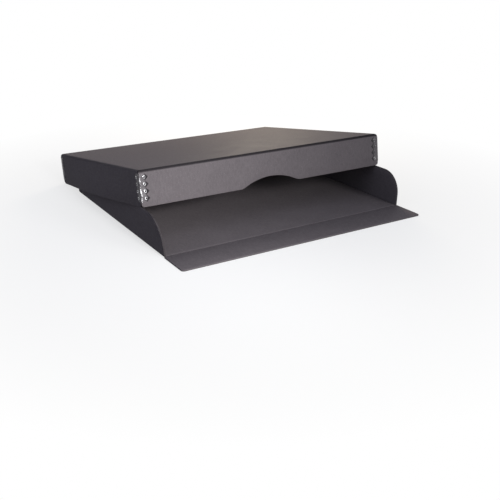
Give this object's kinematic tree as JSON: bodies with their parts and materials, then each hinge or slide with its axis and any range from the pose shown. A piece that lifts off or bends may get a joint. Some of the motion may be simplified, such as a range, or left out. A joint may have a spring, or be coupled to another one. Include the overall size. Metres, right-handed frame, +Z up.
{
  "type": "drop-front storage box",
  "caption": "Shallow dark grey board box for papers and keepsakes, its front wall folding down flat and its deep lid drawn back and propped on the tray.",
  "frame": {"origin": "middle of the tray's footprint, on the surface that the tray stands on", "axes": "+X to the right across the tray, +Y from the open front to the rear wall, +Z up"},
  "size_m": [0.2982, 0.3134, 0.0737],
  "materials": {
    "tray_board": "matte",
    "lid_board": "matte",
    "stay_steel": "satin"
  },
  "bodies": {
    "tray": {"tray_floor": "tray_board", "tray_left_wall": "tray_board", "tray_right_wall": "tray_board", "tray_rear_wall": "tray_board", "tray_rear_left_stay": "stay_steel", "tray_rear_right_stay": "stay_steel"},
    "drop_front": {"drop_front_flap": "tray_board"},
    "lid": {"lid_top_panel": "lid_board", "lid_front_skirt": "lid_board", "lid_rear_skirt": "lid_board", "lid_left_skirt": "lid_board", "lid_right_skirt": "lid_board", "lid_front_left_stay": "stay_steel", "lid_front_right_stay": "stay_steel", "lid_rear_right_stay": "stay_steel", "lid_rear_left_stay": "stay_steel"}
  },
  "joints": [
    {"name": "flap_fold", "type": "hinge", "parent": "tray", "child": "drop_front", "pos_m": [0, -0.1142, 0.0015], "axis": [-1, 0, 0], "range_deg": [0, 90]},
    {"name": "lid_lift", "type": "slide", "parent": "tray", "child": "lid", "axis": [0, 0, 1], "range_m": [0, 0.12]}
  ]
}
